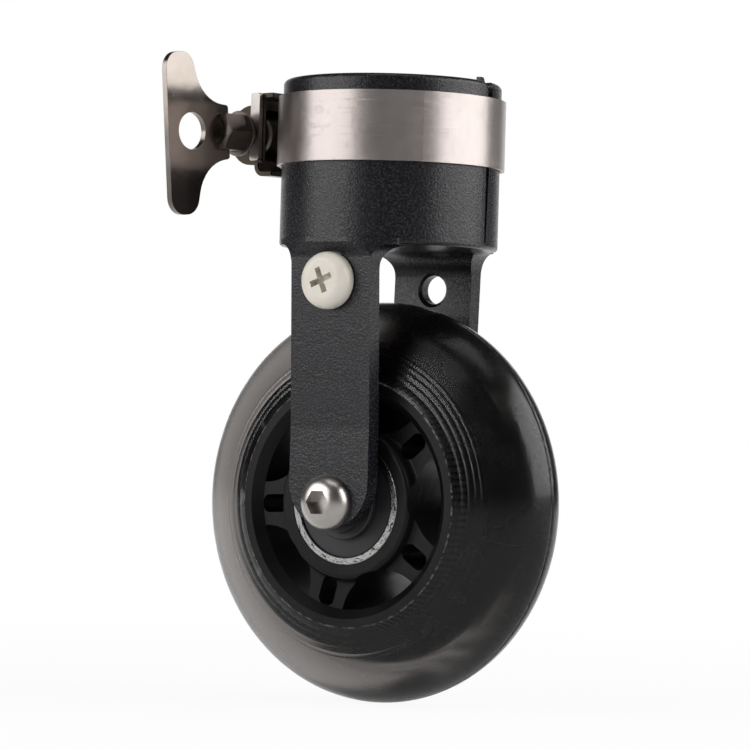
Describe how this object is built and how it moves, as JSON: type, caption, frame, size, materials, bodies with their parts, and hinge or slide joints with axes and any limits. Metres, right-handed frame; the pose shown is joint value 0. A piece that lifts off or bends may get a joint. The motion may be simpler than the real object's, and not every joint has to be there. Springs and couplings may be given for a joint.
{
  "type": "auxiliary rolling wheel",
  "caption": "Rolling wheel for a folding bicycle: a cup clamped on a tube by a worm-drive band with a wing key, and a fork that carries a small wheel on ball bearings.",
  "frame": {"origin": "centre of the cup's floor, where the tube's end comes to rest, on the cup's axis", "axes": "+Z along the tube and out of the cup's mouth; the wheel's axis is parallel to Y; the leg with the round plastic screw and the wing key are on the -Y side, the clamp's housing on the -X side"},
  "size_m": [0.071, 0.0517, 0.1153],
  "materials": {
    "bracket_coat": "matte",
    "liner_plastic": "matte",
    "band_steel": "satin",
    "clamp_steel": "satin",
    "hub_plastic": "satin",
    "tyre_urethane": "satin",
    "bearing_steel": "polished",
    "seal_rubber": "matte",
    "cage_plastic": "matte",
    "spacer_steel": "satin",
    "bolt_steel": "polished",
    "stop_plastic": "satin"
  },
  "bodies": {
    "bracket": {"bracket": "bracket_coat", "socket_liner": "liner_plastic", "clamp_band": "band_steel", "clamp_housing": "clamp_steel", "stop_screw": "stop_plastic", "axle_bolt": "bolt_steel", "axle_nut": "bolt_steel", "axle_sleeve": "spacer_steel", "near_spacer": "spacer_steel", "far_spacer": "spacer_steel", "near_inner_race": "bearing_steel", "far_inner_race": "bearing_steel"},
    "wheel": {"wheel_hub": "hub_plastic", "wheel_tyre": "tyre_urethane", "near_outer_race": "bearing_steel", "far_outer_race": "bearing_steel", "near_outer_seal": "seal_rubber", "near_inner_seal": "seal_rubber", "far_outer_seal": "seal_rubber", "far_inner_seal": "seal_rubber"},
    "near_ball_cage": {"near_cage": "cage_plastic", "near_balls": "bearing_steel"},
    "far_ball_cage": {"far_cage": "cage_plastic", "far_balls": "bearing_steel"},
    "clamp_drive": {"clamp_screw": "clamp_steel", "wing_key": "clamp_steel"}
  },
  "joints": [
    {"name": "wheel_spin", "type": "hinge", "parent": "bracket", "child": "wheel", "pos_m": [0, 0, -0.048], "axis": [0, 1, 0], "continuous": true},
    {"name": "near_cage_spin", "type": "hinge", "parent": "bracket", "child": "near_ball_cage", "pos_m": [0, -0.008, -0.048], "axis": [0, 1, 0], "continuous": true},
    {"name": "far_cage_spin", "type": "hinge", "parent": "bracket", "child": "far_ball_cage", "pos_m": [0, 0.008, -0.048], "axis": [0, 1, 0], "continuous": true},
    {"name": "clamp_screw_turn", "type": "hinge", "parent": "bracket", "child": "clamp_drive", "pos_m": [-0.02452, 0.00371, 0.0174], "axis": [0.1495, 0.9888, 0], "continuous": true}
  ],
  "couplings": [
    {"joint": "near_cage_spin", "follows": "wheel_spin", "ratio": 0.63},
    {"joint": "far_cage_spin", "follows": "wheel_spin", "ratio": 0.63}
  ]
}
